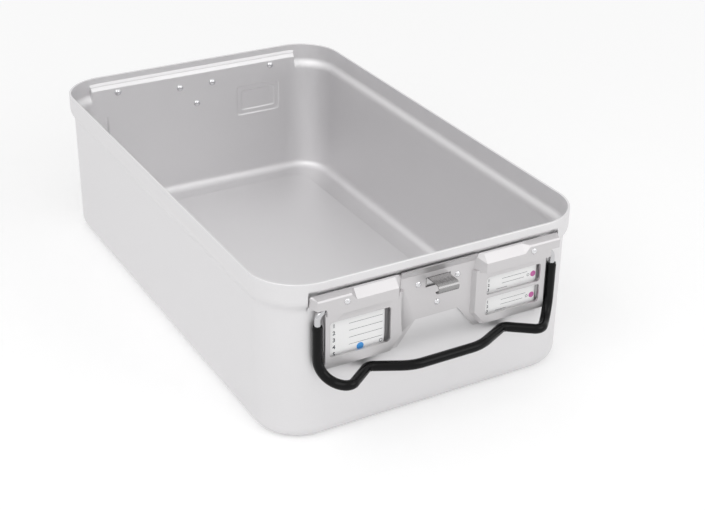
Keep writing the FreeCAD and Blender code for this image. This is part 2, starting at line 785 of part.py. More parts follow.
def make_rivet(name, x, z, front):
    """One rivet through the end wall: a domed head in front and one inside the tub."""
    body = new_body(name)
    sketch = new_sketch(body, "Profile", "YZ_Plane", x)
    shank = size("rivet_shank") / 2
    head = size("rivet_head") / 2
    dome = size("rivet_dome")
    outer = -(wall_y + front)
    inner = -(wall_y - wall_sheet)
    outline(sketch, [
        (outer - dome, z, None),
        (inner + dome, z, None),
        (inner + dome, z + head * 0.5, dome),
        (inner + dome * 0.3, z + head, None),
        (inner, z + head, None),
        (inner, z + shank, None),
        (outer, z + shank, None),
        (outer, z + head, None),
        (outer - dome * 0.3, z + head, None),
        (outer - dome, z + head * 0.5, dome),
    ])
    spin = body.newObject("PartDesign::Revolution", name + "Turned")
    spin.Profile = sketch
    spin.ReferenceAxis = (sketch, ["Edge1"])
    spin.Angle = 360
    return body


def make_group(name, members, turn):
    """Like pieces together in one node, each a solid of its own."""
    group = doc.addObject("Part::Compound", name)
    group.Label = name
    group.Links = members
    group.Placement = Placement(Vector(0, 0, 0), Rotation(Vector(0, 0, 1), turn))
    return group


def make_rivets(end, turn, kind, places, front):
    """The rivets of one kind at one end."""
    name = "%s_%s_rivets" % (end, kind)
    members = [make_rivet("%s_%d" % (name, index), x, z, front)
               for index, (x, z) in enumerate(places, start=1)]
    return make_group(name, members, turn)


def make_pin_block(name, way):
    """The bearing that one end of the handle's wire turns in, riveted inside the hood."""
    body = new_body(name)
    spans = (across("block_inner"), across("block_outer"))
    left, right = (spans[0], spans[1]) if way > 0 else (-spans[1], -spans[0])
    block = on_end(body, "Block")
    rectangle(block, left, right, height("block_low"), height("block_high"))
    pad(body, block, size("hood_rise"))
    bore = new_sketch(body, "Bore", "YZ_Plane", left)
    disc(bore, -(wall_y + size("hinge_out")), height("hinge"), bore_radius)
    pocket(body, bore, right - left, reverse=True)
    clear_joggle(body, right if way > 0 else -left)
    drill = on_end(body, "RivetHole", size("hood_rise"))
    disc(drill, across("hood_rivet") * way, height("hood_rivet"), hole_radius)
    pocket(body, drill, size("hood_rise"))
    return body


def make_pin_blocks(end, turn):
    """The two pin blocks of one end."""
    name = end + "_pin_blocks"
    members = [make_pin_block("%s_%d" % (name, index), way)
               for index, way in enumerate((-1, 1), start=1)]
    return make_group(name, members, turn)


# The carry handle.

def bent_path(points, radii):
    """Straight runs through the points, joined by tangent arcs at the inner ones."""
    edges = []
    last = points[0]
    for index, radius in enumerate(radii, start=1):
        corner = points[index]
        to_last = (points[index - 1] - corner).normalize()
        to_next = (points[index + 1] - corner).normalize()
        half = to_last.getAngle(to_next) / 2
        reach = radius / math.tan(half)
        enter = corner + to_last * reach
        leave = corner + to_next * reach
        inward = (to_last + to_next).normalize()
        middle = corner + inward * (radius / math.sin(half) - radius)
        edges.append(Part.LineSegment(last, enter).toShape())
        edges.append(Part.Arc(enter, middle, leave).toShape())
        last = leave
    edges.append(Part.LineSegment(last, points[-1]).toShape())
    return Part.Wire(edges)


def handle_run():
    """Corner points and bend radii of the handle's right half, from its leg to the grip."""
    hinge_y = -(wall_y + size("hinge_out")).number
    low = height("grip").number
    points = [
        Vector(across("leg").number, hinge_y, low),
        Vector(across("lobe").number, hinge_y - size("lobe_out").number, low),
        Vector(across("waist").number, hinge_y, low),
        Vector(size("grip_x").number, hinge_y - size("grip_out").number, low),
    ]
    radii = [size("bend_leg").number, size("bend_lobe").number, size("bend_waist").number,
             size("bend_grip").number]
    return points, radii


def mirrored(points):
    """The same points on the other side, in the order that carries the path on."""
    return [Vector(-point.x, point.y, point.z) for point in reversed(points)]


def make_path(name, start, start_radii):
    """The handle's centre line, from start on the right over the grip to the left."""
    points, radii = handle_run()
    right = start + points
    bends = start_radii + radii
    path = doc.addObject("Part::Feature", name)
    path.Shape = bent_path(right + mirrored(right), bends + bends[::-1])
    return path


def make_tube(name, path, start, direction, diameter):
    """A round bar of that diameter along a path."""
    circle = doc.addObject("Part::Circle", name + "_section")
    bind(circle, "Radius", diameter / 2)
    circle.Placement = Placement(start, Rotation(Vector(0, 0, 1), direction))
    tube = doc.addObject("Part::Sweep", name)
    tube.Sections = [circle]
    tube.Spine = (path, [])
    tube.Solid = True
    return tube


def make_handle(end, turn):
    """The bent wire of one handle and the sleeve drawn over it."""
    hinge_y = -(wall_y + size("hinge_out")).number
    pin = Vector(across("pin_end").number, hinge_y, height("hinge").number)
    elbow = Vector(across("leg").number, hinge_y, height("hinge").number)
    hem = Vector(across("leg").number, hinge_y, height("sleeve_top").number)
    half_turn = Placement(Vector(0, 0, 0), Rotation(Vector(0, 0, 1), turn))
    name = end + "_handle_wire"
    wire_path = make_path(name + "_path", [pin, elbow], [size("bend_pin").number])
    wire = make_tube(name, wire_path, pin, Vector(1, 0, 0), size("wire_size"))
    wire.Label = name
    wire.Placement = half_turn
    name = end + "_handle_sleeve"
    sleeve_path = make_path(name + "_path", [hem], [])
    outside = make_tube(name + "_outside", sleeve_path, hem, Vector(0, 0, -1), size("sleeve_size"))
    bore = make_tube(name + "_bore", sleeve_path, hem, Vector(0, 0, -1),
                     size("wire_size") + size("sleeve_clear") * 2)
    sleeve = doc.addObject("Part::Cut", name)
    sleeve.Label = name
    sleeve.Base = outside
    sleeve.Tool = bore
    sleeve.Placement = half_turn
    return [wire, sleeve]


# The label cards.

def make_card(name, turn, left, right, low, high):
    """One card in the pocket behind a label plate, lying on its card rest."""
    body = new_body(name, turn)
    sketch = on_end(body, "Card", card_back)
    rectangle(sketch, left, right, low, high, size("card_round"))
    pad(body, sketch, size("card_sheet"))
    return body


def make_cards(end, turn):
    """The large card at the left and two small ones, one above the other, at the right."""
    lap = size("card_lap")
    floor = pocket_floor + size("card_lift")
    middle = (height("upper_slot") + height("lower_slot")) / 2
    top = height("upper_slot") + size("slot_height") / 2 + lap
    inner = size("slot_inner") - lap
    outer = across("slot") + lap
    return [
        make_card(end + "_large_label", turn, -across("window") - lap,
                  lap - size("window_inner"), floor, height("window_high") + lap),
        make_card(end + "_lower_label", turn, inner, outer, floor,
                  middle - size("card_lift") / 2),
        make_card(end + "_upper_label", turn, inner, outer, middle + size("card_lift") / 2, top),
    ]


def make_end(end, turn):
    """Everything on one end of the tub."""
    made = [
        make_bracket(end, turn),
        make_catch(end, turn),
        make_rivets(end, turn, "catch", catch_rivet_places(), bracket_sheet),
        make_rivets(end, turn, "bracket", hood_rivet_places(), hood_face),
        make_pin_blocks(end, turn),
    ]
    return made + make_handle(end, turn) + make_cards(end, turn)


def check(parts):
    """Stop at any object that failed, or any piece without a sound shape."""
    for thing in doc.Objects:
        if "Invalid" in thing.State or "Error" in thing.State:
            raise RuntimeError("%s failed: %s" % (thing.Name, thing.getStatusString()))
    for part in parts:
        if part.Shape.isNull() or not part.Shape.isValid():
            raise RuntimeError("%s has no sound shape" % part.Label)


pieces = [make_tub()] + make_end("front", 0) + make_end("rear", 180)
doc.recompute()
check(pieces)
os.makedirs("parts", exist_ok=True)
for piece in pieces:
    piece.Shape.exportStep("parts/%s.step" % piece.Label)
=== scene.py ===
import math

import bmesh
import bpy
import numpy as np
from bpy.props import FloatProperty, FloatVectorProperty, IntProperty, PointerProperty
from mathutils import Matrix, Vector


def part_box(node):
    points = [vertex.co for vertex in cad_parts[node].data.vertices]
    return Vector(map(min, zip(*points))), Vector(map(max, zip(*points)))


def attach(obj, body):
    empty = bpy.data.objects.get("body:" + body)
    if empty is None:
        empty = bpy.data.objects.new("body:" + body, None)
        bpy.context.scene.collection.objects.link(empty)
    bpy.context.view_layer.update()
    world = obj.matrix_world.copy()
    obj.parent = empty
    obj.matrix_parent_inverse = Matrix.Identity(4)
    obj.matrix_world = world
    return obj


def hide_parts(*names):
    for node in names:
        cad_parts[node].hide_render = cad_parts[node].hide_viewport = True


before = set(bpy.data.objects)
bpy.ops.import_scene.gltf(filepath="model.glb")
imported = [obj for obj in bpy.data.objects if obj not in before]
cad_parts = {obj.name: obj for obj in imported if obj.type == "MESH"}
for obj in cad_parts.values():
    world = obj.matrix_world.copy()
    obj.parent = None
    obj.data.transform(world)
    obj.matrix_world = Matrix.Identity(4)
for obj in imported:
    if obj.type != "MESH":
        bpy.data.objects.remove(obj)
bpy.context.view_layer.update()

# The open bottom of a rigid sterilization container: a deep drawn aluminium tub and, on each end
# wall, a stamped bracket with label cards, a latch catch, rivets and a hanging wire handle.
# Metres, +Z up. The front end faces -Y, and the rear end is the front end turned half a turn.

bl_info = {
    "name": "Sterilization container",
    "version": (1, 0, 0),
    "blender": (4, 5, 0),
    "location": "View3D > Sidebar > Container",
    "description": "Builds an open sterilization container with its handles, catches and cards",
    "category": "Object",
}

MM = 0.001
# Each end's name, and the sign that its X and Y take.
ENDS = (("front", 1), ("rear", -1))


def linear(code):
    """An sRGB hex colour as linear red, green and blue."""
    parts = np.array([int(code[place:place + 2], 16) for place in (1, 3, 5)]) / 255
    bent = np.where(parts <= 0.04045, parts / 12.92, ((parts + 0.055) / 1.055) ** 2.4)
    return tuple(float(part) for part in bent)


def length(name, millimetres, description):
    """A length property, written here in millimetres."""
    return FloatProperty(name=name, description=description, default=millimetres * MM,
                         unit="LENGTH", subtype="DISTANCE", precision=5)


def place_x(name, millimetres, description):
    """A property for a place along X."""
    return length(name, millimetres, description + ", from the middle")


def place_z(name, millimetres, description):
    """A property for a place along Z."""
    return length(name, millimetres, description + ", above the base")


def colour(name, code, description):
    """A colour property, written here as an sRGB hex value."""
    return FloatVectorProperty(name=name, description=description, default=linear(code),
                               subtype="COLOR", size=3, min=0, max=1)


def watts(name, default):
    """A lamp's power."""
    return FloatProperty(name=name, description="Power of the lamp, in watts", default=default,
                         unit="POWER")


def angle(name, degrees, description):
    """An angle property, written here in degrees."""
    return FloatProperty(name=name, description=description, default=math.radians(degrees),
                         subtype="ANGLE")


# Sizes and colours that a user would change.

class ContainerTubSizes(bpy.types.PropertyGroup):
    """The deep drawn tub's own sizes. Its outer size comes from the tub's node in model.glb."""

    sheet: length("Sheet", 2.0, "Thickness of the tub's sheet")
    flare: length("Rim flare", 3.5, "How far the rim band stands out from the wall")
    wall_corner: length("Wall corner", 38.0, "Outer radius of the upright corners")
    base_round: length("Base round", 10.5, "Outer radius between wall and floor")
    swage_low: length("Swage foot", 23.0, "Swage's lower bend, below the rim")
    swage_high: length("Swage head", 17.0, "Swage's upper bend, below the rim")
    swage_round: length("Swage round", 11.0, "Radius of both swage bends, outside")
    ledge_low: length("Ledge foot", 12.6, "Foot of the end wall's ledge, below the rim")
    ledge_crease: length("Ledge crease", 8.7, "Crease between its two slopes, below the rim")
    ledge_high: length("Ledge head", 6.4, "Head of the end wall's ledge, below the rim")
    ledge_round: length("Ledge round", 1.2, "Radius of both ledge bends, outside")
    ledge_foot_round: length("Ledge foot, inside", 1.6, "Radius of the ledge's lower bend, inside")
    ledge_crease_round: length("Crease round", 0.4, "Radius of the crease")
    ledge_head_round: length("Ledge head, inside", 0.9, "Radius of the ledge's upper bend, inside")
    ledge_half: length("Ledge half width", 109.2, "Half width of the end wall's ledge")
    ledge_fade: length("Ledge fade", 1.6, "Width over which the ledge turns into the swage")
    rim_edge: length("Rim edge", 0.6, "Rounding of the rim's edges")
    panel_margin_x: length("Panel margin at the sides", 29.5, "Side wall to raised floor panel")
    panel_margin_y: length("Panel margin at the ends", 26.0, "End wall to raised floor panel")
    panel_rise: length("Panel rise", 2.2, "How far the floor panel is pressed up")
    panel_round: length("Panel round", 20.0, "Corner radius of the floor panel")
    panel_slope: length("Panel slope", 2.0, "Run of the floor panel's pressed edge")
    rest_press: length("Rest step", 0.6, "Depth of each of a card rest's two steps")
    rest_margin: length("Rest margin", 5.0, "Width of a card rest's lower step")
    rest_half_z: length("Rest half height", 15.3, "Half height of a card rest")
    rest_round: length("Rest corner", 3.0, "Corner radius of a card rest")
    rest_edge: length("Rest edge", 1.7, "Run of each pressed step")
    rest_inner: place_x("Rest, inner side", 44.2, "Card rest's inner side")
    rest_outer: place_x("Rest, outer side", 91.2, "Card rest's outer side")
    rest_floor: length("Rests from", 20.0, "The end wall is plain below this height")
    rest_z: place_z("Rest height", 86.4, "Card rest's middle")
    bead_x: place_x("Bead", 95.0, "Upright bead beside the small cards")
    bead_low: place_z("Bead foot", 68.0, "Foot of the bead")
    bead_high: place_z("Bead head", 92.5, "Head of the bead")
    bead_half: length("Bead half width", 0.9, "Half width of the bead")
    bead_press: length("Bead depth", 0.9, "How far the bead is pressed out")


class ContainerBracketSizes(bpy.types.PropertyGroup):
    """Windows and flanges that are trimmed on the stamped brackets."""

    large_side: length("Large window's side", 44.5, "Its inner side before the shift, across")
    small_side: length("Small windows' side", 91.0, "Their outer side before the shift, across")
    window_round: length("Window corner", 2.5, "Corner radius of the windows")
    window_shift: length("Window shift", 2.0, "How far those sides move along X")
    flange_foot: place_z("Hood flange", 114.0, "Foot of the hood's side flange")
    flange_from: place_x("Flange from", 31.0, "Inner limit of that flange")
    flange_to: place_x("Flange to", 36.0, "Outer limit of that flange")
    flange_gap: length("Flange gap", 1.78, "How far that flange is drawn down")
    window_low: place_z("Windows, foot", 62.0, "Below the lowest window")
    window_high: place_z("Windows, head", 106.0, "Above the highest window")


class ContainerRivetSizes(bpy.types.PropertyGroup):
    """The domed blind rivets."""

    head: length("Head", 2.6, "Radius of a rivet's head")
    dome: length("Dome", 1.3, "Height of a rivet's head")
    tail: length("Tail", 3.4, "Radius of a rivet's head inside the tub")
    tail_dome: length("Tail dome", 2.2, "Height of that head")
    shank: length("Shank", 1.6, "Radius of a rivet's shank")
    dimple: length("Dimple", 0.95, "Radius of the dimple in the outer head")
    dimple_depth: length("Dimple depth", 0.55, "Depth of that dimple")
    side_x: place_x("Side rivets, across", 17.4, "Catch's upper rivets")
    side_z: place_z("Side rivets, height", 112.2, "Catch's upper rivets")
    low_z: place_z("Low rivet, height", 93.0, "Catch's lower rivet")
    hood_x: place_x("Hood rivets, across", 82.0, "Hood rivets")
    hood_z: place_z("Hood rivets, height", 119.4, "Hood rivets")
    bridge_face: length("Bridge face", 1.8, "Bracket's face in front of the end wall")
    hood_face: length("Hood face", 9.7, "Hood's face in front of the end wall")


class ContainerSleeveSizes(bpy.types.PropertyGroup):
    """The sleeve drawn over the handle's wire."""

    outside: length("Outside", 3.97, "Outer radius of the sleeve")
    wire: length("Wire", 2.5, "Radius of the wire")
    hinge_out: length("Hinge", 4.5, "Hinge axis in front of the end wall")
    top: place_z("Top", 102.0, "Upper ends of the sleeve")
    grip_z: place_z("Grip height", 55.2, "Handle's lower run")
    leg_x: place_x("Leg", 103.7, "Handle's leg")
    lobe_x: place_x("Lobe", 85.5, "Outer lobe")
    lobe_out: length("Lobe reach", 18.2, "Outer lobe in front of the legs")
    waist_x: length("Waist", 61.0, "Where the handle comes back to the wall")
    grip_x: length("Grip", 30.6, "End of the straight grip")
    grip_out: length("Grip reach", 15.1, "Grip in front of the legs")
    bend_leg: length("Leg bend", 19.0, "Bend radius at the foot of a leg")
    bend_lobe: length("Lobe bend", 7.0, "Bend radius of a lobe")
    bend_waist: length("Waist bend", 6.4, "Bend radius at the waist")
    bend_grip: length("Grip bend", 38.0, "Bend radius at the end of the grip")
    hem: length("Hem", 0.7, "Rounding of the sleeve's ends")
    wrinkle: length("Wrinkle", 0.22, "Depth of the wrinkles inside the tight bends")
    wrinkle_pitch: length("Wrinkle pitch", 2.6, "Distance from wrinkle to wrinkle")
    around: IntProperty(name="Around", description="Faces around the sleeve", default=40, min=12)


# The lengths of a card's print.
PRINT_LENGTHS = [(name, {"large": large, "small": small}, text) for name, large, small, text in (
    ("top", 95.1, 97.3, "Height of its first line, above the base"),
    ("pitch", 6.0, 4.1, "Distance from line to line"),
    ("mark", -88.6, 47.0, "Middle of its column of numbers, from the middle"),
    ("lift", 0.9, 1.0, "Middle of a number above its line"),
    ("digit", 3.2, 2.4, "Height of its digits"),
    ("drop", 21.9, 3.1, "From its first line down to its dot and its open ring"),
    ("dot", 3.0, 2.5, "Radius of its dot"),
    ("dot_x", -66.4, 88.7, "Middle of its dot, from the middle"),
    ("ring", 1.5, 1.2, "Outer radius of its open ring"),
    ("ring_x", -48.7, 84.0, "Middle of its open ring, from the middle"),
    ("ring_line", 0.4, 0.35, "Thickness of that ring's line"),
    ("end", -46.3, 91.5, "Card's right side, from the middle"),
)]


class ContainerPrintSizes(bpy.types.PropertyGroup):
    """The label cards and the form printed on them."""

    film: length("Ink", 0.03, "Thickness of the printed ink")
    rule: length("Rule", 0.3, "Thickness of a ruled line")
    corner: length("Card corner", 2.2, "Radius of a card's two right corners")
    small_step: length("Small step", 18.9, "From the upper card's print to the lower one's")
    large_left: place_x("Large left", -76.0, "Left end of its ruled lines")
    large_right: place_x("Large right", -47.4, "Right end of its ruled lines")
    __annotations__.update({
        "%s_%s" % (card, name): length("%s %s" % (card.capitalize(), name), sizes[card], text)
        for name, sizes, text in PRINT_LENGTHS for card in sizes})


class ContainerColours(bpy.types.PropertyGroup):
    """Colours of the materials."""

    tub: colour("Tub", "#E0DFE0", "Clear anodised aluminium of the tub")
    bracket: colour("Bracket", "#CDCBCC", "Satin aluminium of the bracket")
    catch: colour("Catch", "#989797", "Brushed stainless steel of the catch")
    rivet: colour("Rivet", "#D9D9DB", "Bright aluminium of the rivets")
    wire: colour("Wire", "#C4C4C6", "Polished stainless steel of the wire")
    sleeve: colour("Sleeve", "#060607", "Black rubber of the sleeve")
    card: colour("Card", "#F8F8F8", "Card of the labels")
    ink: colour("Grey ink", "#3E4349", "Ink of the rules and numbers")
    blue: colour("Blue ink", "#4A9BE0", "Ink of the large card's dot")
    pink: colour("Pink ink", "#C46AA5", "Ink of the small cards' dots")


class ContainerStage(bpy.types.PropertyGroup):
    """Camera, floor and lamps."""

    azimuth: angle("Azimuth", 29.64, "Camera's turn from looking along +Y")
    elevation: angle("Elevation", 28.15, "Camera's tilt below level")
    roll: angle("Roll", 0.82, "Camera's roll")
    lens: FloatProperty(name="Lens", description="Focal length on a 36 mm wide sensor",
                        default=71.05, unit="CAMERA")
    place: FloatVectorProperty(name="Camera", description="Camera's place", subtype="XYZ", size=3,
                               default=(-0.50628, -0.98639, 0.61899), unit="LENGTH")
    floor: colour("Floor", "#F4F4F4", "Floor and backdrop")
    world: FloatProperty(name="World", description="Strength of the even light from all round",
                         default=0.72, min=0, max=1, subtype="FACTOR")
    key: watts("Key lamp", 8.0)
    fill: watts("Fill lamp", 0.15)
    front: watts("Front lamp", 3.6)


# Surfaces.

def bend(before, corner, after, radius, steps, guard=0.0):
    """Points of the tangent arc that rounds a corner.

    The arc starts at radius / tan(half angle) from the corner and turns evenly about a centre on
    the bisector, radius / sin(half angle) from it. A guard adds a point that far out on each
    side."""
    to_last = (before - corner) / np.linalg.norm(before - corner)
    to_next = (after - corner) / np.linalg.norm(after - corner)
    half = math.acos(float(np.clip(to_last @ to_next, -1, 1))) / 2
    reach = radius / math.tan(half)
    bisector = (to_last + to_next) / np.linalg.norm(to_last + to_next)
    centre = corner + bisector * radius / math.sin(half)
    across = to_last + bisector * -(to_last @ bisector)
    across = across / np.linalg.norm(across)
    turn = np.linspace(1, -1, steps + 1)[:, None] * (math.pi / 2 - half)
    arc = centre - bisector * radius * np.cos(turn) + across * radius * np.sin(turn)
    if guard:
        far = reach + guard
        arc = np.vstack([corner + to_last * far, arc, corner + to_next * far])
    return arc


def bent_line(corners, radii, steps, guard=0.0):
    """A line through corners, each inner one rounded by its radius, as one list of arcs."""
    corners = [np.array(corner, float) for corner in corners]
    return [bend(*corners[place:place + 3], radius, steps, guard)
            for place, radius in enumerate(radii)]


def smooth(amount):
    """0 below 0, 1 above 1, and a smooth rise between them: 3 a^2 - 2 a^3."""
    amount = np.clip(amount, 0, 1)
    return amount * amount * (3 - 2 * amount)


def new_object(name, data):
    """An object with that data, in the scene."""
    made = bpy.data.objects.new(name, data)
    bpy.context.scene.collection.objects.link(made)
    return made


def shade(mesh, sharp):
    """Smooth shading, except at edges sharper than that angle in degrees."""
    mesh.polygons.foreach_set("use_smooth", np.ones(len(mesh.polygons), bool))
    mesh.set_sharp_from_angle(angle=math.radians(sharp))


def put_mesh(name, parts, sharp=30, way=1):
    """An object made of (points, faces) parts, turned half a turn about Z where way is -1."""
    points = []
    faces = []
    start = 0
    for part_points, part_faces in parts:
        points.append(np.asarray(part_points, float).reshape(-1, 3) * (way, way, 1))
        faces += [[corner + start for corner in face] for face in part_faces]
        start += len(points[-1])
    mesh = bpy.data.meshes.new(name)
    mesh.from_pydata(np.vstack(points), [], faces)
    shade(mesh, sharp)
    mesh.update()
    return new_object(name, mesh)


def ring_part(rings):
    """Closed rings of points as a part: quads from each ring to the next, and two flat caps."""
    rows, columns = rings.shape[:2]
    row = np.arange(rows - 1)[:, None] * columns
    here = np.arange(columns)
    beside = (here + 1) % columns
    quads = np.stack([row + here, row + beside, row + columns + beside, row + columns + here], -1)
    last = (rows - 1) * columns
    caps = [list(range(columns))[::-1], list(range(last, last + columns))]
    return rings.reshape(-1, 3), quads.reshape(-1, 4).tolist() + caps


def full_turn(count):
    """That many even steps of a full turn."""
    return np.linspace(0, 2 * math.pi, count, endpoint=False)


def coat(mesh, material):
    """Give a mesh its only material."""
    mesh.materials.clear()
    mesh.materials.append(material)


def dress(piece, material, body):
    """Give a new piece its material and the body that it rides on."""
    coat(piece.data, material)
    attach(piece, body)


# Materials.

def add_node(tree, kind, settings=None, inputs=None):
    """Add a node, set its settings, and give each input a value or a link."""
    made = tree.nodes.new(kind)
    for name, value in (settings or {}).items():
        setattr(made, name, value)
    for name, value in (inputs or {}).items():
        if isinstance(value, bpy.types.NodeSocket):
            tree.links.new(value, made.inputs[name])
        else:
            made.inputs[name].default_value = value
    return made


def new_material(name):
    """An empty node material and its tree."""
    material = bpy.data.materials.new(name)
    material.use_nodes = True
    material.node_tree.nodes.clear()
    return material, material.node_tree


def close_material(material, inputs):
    """Give a material its shader, with these inputs."""
    tree = material.node_tree
    shader = add_node(tree, "ShaderNodeBsdfPrincipled", inputs=inputs)
    add_node(tree, "ShaderNodeOutputMaterial", inputs={"Surface": shader.outputs[0]})
    return material


def object_place(tree, stretch=(1, 1, 1)):
    """Object coordinates, stretched along each axis."""
    place = add_node(tree, "ShaderNodeTexCoord")
    mapping = add_node(tree, "ShaderNodeMapping", inputs={"Vector": place.outputs["Object"],
                                                          "Scale": stretch})
    return mapping.outputs["Vector"]


def noise(tree, grain, detail, stretch=(1, 1, 1), roughness=0.5):
    """Noise with marks that many millimetres apart, in stretched object coordinates."""
    inputs = {"Vector": object_place(tree, stretch), "Scale": 1 / (grain * MM), "Detail": detail,
              "Roughness": roughness}
    return add_node(tree, "ShaderNodeTexNoise", inputs=inputs).outputs["Fac"]


def ranged(tree, value, source, target):
    """A value mapped from its source range to its target range, and held within it."""
    inputs = {"Value": value, "From Min": source[0], "From Max": source[1], "To Min": target[0],
              "To Max": target[1]}
    return add_node(tree, "ShaderNodeMapRange", inputs=inputs).outputs["Result"]


def scaled(tree, base, amount):
    """A colour times an amount."""
    return add_node(tree, "ShaderNodeVectorMath", {"operation": "SCALE"},
                    {0: tuple(base), "Scale": amount}).outputs[0]


def bumped(tree, height, depth):
    """The normal of a surface that goes up and down by that many millimetres."""
    inputs = {"Height": height, "Strength": 1.0, "Distance": depth * MM}
    return add_node(tree, "ShaderNodeBump", inputs=inputs).outputs["Normal"]


def metal(name, base, rough, spread, grain, depth, stretch=(1, 1, 1)):
    """A metal whose height varies by a stretched noise, and its roughness also by wide clouds."""
    material, tree = new_material(name)
    fine = noise(tree, grain, 4.0, stretch, 0.6)
    clouds = noise(tree, 60.0, 2.0)
    mixed = add_node(tree, "ShaderNodeMath", {"operation": "MULTIPLY_ADD"},
                     {0: clouds, 1: 0.5, 2: fine})
    roughness = ranged(tree, mixed.outputs[0], (0.45, 1.05), (rough - spread, rough + spread))
    return close_material(material, {"Base Color": (*base, 1), "Metallic": 1.0,
                                     "Roughness": roughness, "Normal": bumped(tree, fine, depth)})


def tub_aluminium(colours):
    """Deep drawn aluminium, etched and clear anodised: an even, matt, light grey."""
    return metal("aluminium deep drawn matt anodised", colours.tub, rough=0.53, spread=0.05,
                 grain=0.8, depth=0.014)


def bracket_aluminium(colours):
    """Stamped aluminium, satin anodised: a little darker and smoother than the tub."""
    return metal("aluminium stamped satin anodised", colours.bracket, rough=0.46, spread=0.04,
                 grain=0.6, depth=0.004)


def catch_steel(colours):
    """Stainless steel strip, brushed across before it was bent: fine streaks in its highlights.

    The real lines are some 0.05 mm apart and are drawn at 0.35 mm, where they begin to show."""
    return metal("stainless steel brushed strip", colours.catch, rough=0.27, spread=0.07,
                 grain=0.35, depth=0.006, stretch=(1, 0.06, 1))


def rivet_aluminium(colours):
    """Aluminium blind rivets, cold headed: bright and almost smooth."""
    return metal("aluminium cold headed rivet", colours.rivet, rough=0.24, spread=0.04,
                 grain=0.8, depth=0.002)


def wire_steel(colours):
    """Stainless steel wire, drawn and polished: sharp, nearly mirror like reflections."""
    return metal("stainless steel polished wire", colours.wire, rough=0.13, spread=0.03,
                 grain=0.5, depth=0.001, stretch=(1, 1, 0.1))


def block_aluminium(colours):
    """Aluminium bar, sawn and milled: faint lines along X."""
    return metal("aluminium machined bar", colours.rivet, rough=0.3, spread=0.05,
                 grain=0.5, depth=0.004, stretch=(0.1, 1, 1))


def sleeve_rubber(colours):
    """Silicone rubber tube, extruded: deep black and glossy, with slightly uneven highlights."""
    material, tree = new_material("silicone rubber extruded tube")
    uneven = noise(tree, 5.0, 3.0)
    return close_material(material, {
        "Base Color": (*colours.sleeve, 1), "IOR": 1.36, "Specular IOR Level": 0.3,
        "Roughness": ranged(tree, uneven, (0.3, 0.7), (0.13, 0.21)),
        "Normal": bumped(tree, uneven, 0.12)})


def label_card(colours):
    """Bleached card, calendered: smooth, matt and white, with a faint fibre."""
    material, tree = new_material("paper card calendered")
    fibre = noise(tree, 0.5, 5.0, (1, 1, 0.4))
    tint = ranged(tree, fibre, (0, 1), (0.97, 1))
    return close_material(material, {
        "Base Color": scaled(tree, colours.card, tint), "IOR": 1.45, "Roughness": 0.62,
        "Normal": bumped(tree, fibre, 0.01)})


def card_ink(name, base):
    """Offset printed ink: flat and matt, a little uneven where the card shows through."""
    material, tree = new_material(name)
    cover = ranged(tree, noise(tree, 0.4, 2.0), (0, 1), (1, 1.12))
    return close_material(material, {"Base Color": scaled(tree, base, cover), "IOR": 1.45,
                                     "Roughness": 0.55})


# The tub.

# The wall's rings: from and to which height in millimetres, and how many. They are close together
# where the swage and the ledge bend.
WALL_LEVELS = ((15, 106, 11), (108, 121, 14), (121.5, 131.5, 30), (134, 134, 1))
# Distance of a guard ring, which keeps a flat face's shading flat, from a round edge.
GUARD = 0.15 * MM
RIM_GUARD = 0.1 * MM


def offset_at(levels, corners, radii):
    """Offsets from the wall's outer face at given heights, along a line with rounded corners."""
    line = np.vstack([corners[0], *bent_line(corners, radii, 8), corners[-1]])
    return np.interp(levels, line[:, 1], line[:, 0])


def wall_section(sizes, top, levels, low, high, radius, inner_corners, inner_radii):
    """Offsets and heights of the sheet's section, from under the floor over the rim to its top.

    Round base, outer face at rising levels with a bend at low and at high, round rim edges, and
    inner face at falling levels with its own corners."""
    sheet = sizes.sheet
    stub = sizes.base_round + sheet
    rim = sizes.flare
    outer = offset_at(levels, [(0, 0), (0, low), (rim, high), (rim, top)], [radius] * 2)
    inner = offset_at(levels, [(-sheet, 0), *inner_corners, (rim - sheet, top)], inner_radii)
    under = bend(*np.array([(-stub, 0), (0, 0), (0, top)]), sizes.base_round, 8, GUARD)
    edges = bent_line([(rim, 0), (rim, top), (rim - sheet, top), (rim - sheet, 0)],
                      [sizes.rim_edge] * 2, 6, RIM_GUARD)
    over = bend(*np.array([(-sheet, top), (-sheet, sheet), (-stub, sheet)]),
                sizes.base_round - sheet, 8, GUARD)
    return np.vstack([under, np.column_stack([outer, levels]), *edges,
                      np.column_stack([inner, levels])[::-1], over])


def swage_section(sizes, top, levels):
    """The section round most of the tub: upright wall, swage and rim band."""
    sheet = sizes.sheet
    low = top - sizes.swage_low
    high = top - sizes.swage_high
    # A sheet of even thickness has its inner corners a little higher than its outer ones.
    rise = sheet * sizes.flare / (high - low) / 2
    return wall_section(sizes, top, levels, low, high, sizes.swage_round,
                        [(-sheet, low + rise), (sizes.flare - sheet, high + rise)],
                        [sizes.swage_round + sheet, sizes.swage_round - sheet])


def ledge_section(sizes, top, levels):
    """The end wall's middle: a higher, sharper ledge, creased inside between two slopes."""
    sheet = sizes.sheet
    low = top - sizes.ledge_low
    high = top - sizes.ledge_high
    crease = top - sizes.ledge_crease
    middle = sizes.flare / 2 - sheet
    # The crease is a short, nearly upright stretch between the slopes.
    short = 0.5 * MM
    return wall_section(sizes, top, levels, low, high, sizes.ledge_round,
                        [(-sheet, low), (middle, crease - short),
                         (middle + short / 5, crease + short), (sizes.flare - sheet, high)],
                        [sizes.ledge_foot_round, sizes.ledge_crease_round,
                         sizes.ledge_crease_round * 0.75, sizes.ledge_head_round])


